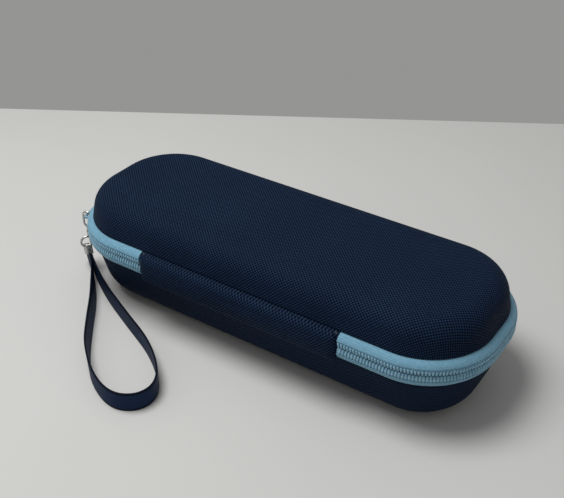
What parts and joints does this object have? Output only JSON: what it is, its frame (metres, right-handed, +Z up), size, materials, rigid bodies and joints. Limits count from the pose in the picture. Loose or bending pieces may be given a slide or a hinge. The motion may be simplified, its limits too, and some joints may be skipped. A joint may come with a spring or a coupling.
{
  "type": "zipped carrying case",
  "caption": "Long rounded clamshell carrying case of moulded fabric-faced foam, with a zip round three sides, a padded hinge strip and a wrist strap on the zip's slider.",
  "frame": {"origin": "centre of the base's flat underside", "axes": "+X along the case away from the strap end, +Z up, hinge strip on the -Y side"},
  "size_m": [0.2337, 0.1401, 0.0573],
  "materials": {
    "navy_weave": "woven, slightly glossy yarn",
    "moulded_foam": "matt closed-cell foam",
    "lining": "brushed knit",
    "zip_tape": "fine twill tape",
    "zip_row": "satin moulded teeth",
    "binding": "grosgrain tape",
    "pocket_mesh": "open knitted mesh",
    "elastic": "ribbed elastic",
    "slider_enamel": "die-cast, enamelled to match the tape",
    "ring_metal": "bright plated wire",
    "clamp_metal": "plated sheet",
    "strap_ribbon": "smooth woven ribbon with darker edges"
  },
  "bodies": {
    "base": {"base_cover": "navy_weave", "base_shell": "moulded_foam", "base_lining": "lining", "base_zip_tape": "zip_tape", "base_zip_row": "zip_row", "base_binding": "binding", "retaining_elastic": "elastic"},
    "spine": {"hinge_cover": "navy_weave", "hinge_liner": "lining"},
    "lid": {"lid_cover": "navy_weave", "lid_shell": "moulded_foam", "lid_lining": "lining", "lid_zip_tape": "zip_tape", "lid_zip_row": "zip_row", "lid_binding": "binding", "mesh_pocket": "pocket_mesh", "pocket_elastic": "elastic"},
    "front_slider": {"front_slider": "slider_enamel"},
    "rear_slider": {"rear_slider": "slider_enamel"},
    "rear_pull": {"rear_pull_ring": "ring_metal"},
    "pull": {"pull_ring": "ring_metal"},
    "swivel_eye": {"swivel_eye": "ring_metal"},
    "swivel_barrel": {"swivel_barrel": "ring_metal"},
    "strap_ring": {"strap_ring": "ring_metal"},
    "strap": {"strap_clamp": "clamp_metal", "wrist_strap": "strap_ribbon"}
  },
  "joints": [
    {"name": "spine_fold", "type": "hinge", "parent": "base", "child": "spine", "pos_m": [0, -0.0386, 0.0266], "axis": [1, 0, 0], "range_deg": [0, 45]},
    {"name": "lid_fold", "type": "hinge", "parent": "spine", "child": "lid", "pos_m": [0, -0.039, 0.042], "axis": [1, 0, 0], "range_deg": [0, 75]},
    {"name": "front_slider_travel", "type": "hinge", "parent": "base", "child": "front_slider", "pos_m": [-0.0765, -0.00655, 0.0353], "axis": [0, 0, -1], "range_deg": [-72, 0]},
    {"name": "rear_slider_travel", "type": "slide", "parent": "base", "child": "rear_slider", "axis": [0, 1, 0], "range_m": [0, 0.011]},
    {"name": "rear_pull_swing", "type": "hinge", "parent": "rear_slider", "child": "rear_pull", "pos_m": [-0.1171, -0.0055, 0.0329], "axis": [0, 1, 0], "range_deg": [0, 90]},
    {"name": "pull_swing", "type": "hinge", "parent": "front_slider", "child": "pull", "pos_m": [-0.11518, -0.01889, 0.0329], "axis": [0.304, -0.9527, 0], "range_deg": [-60, 0]},
    {"name": "swivel_hang", "type": "hinge", "parent": "pull", "child": "swivel_eye", "pos_m": [-0.11527, -0.01892, 0.0277], "axis": [0.304, -0.9527, 0], "range_deg": [0, 60]},
    {"name": "swivel_turn", "type": "hinge", "parent": "swivel_eye", "child": "swivel_barrel", "pos_m": [-0.11527, -0.01892, 0.022], "axis": [0, 0, -1], "range_deg": [0, 72]},
    {"name": "strap_ring_sway", "type": "hinge", "parent": "swivel_barrel", "child": "strap_ring", "pos_m": [-0.11632, -0.02051, 0.0162], "axis": [0.8339, -0.5519, 0], "range_deg": [-2, 2]},
    {"name": "strap_lift", "type": "hinge", "parent": "strap_ring", "child": "strap", "pos_m": [-0.11632, -0.02051, 0.013], "axis": [0.5519, 0.8339, 0], "range_deg": [-3, 0]}
  ],
  "couplings": [
    {"joint": "swivel_hang", "follows": "pull_swing", "ratio": -1},
    {"joint": "swivel_turn", "follows": "front_slider_travel", "ratio": -1}
  ]
}
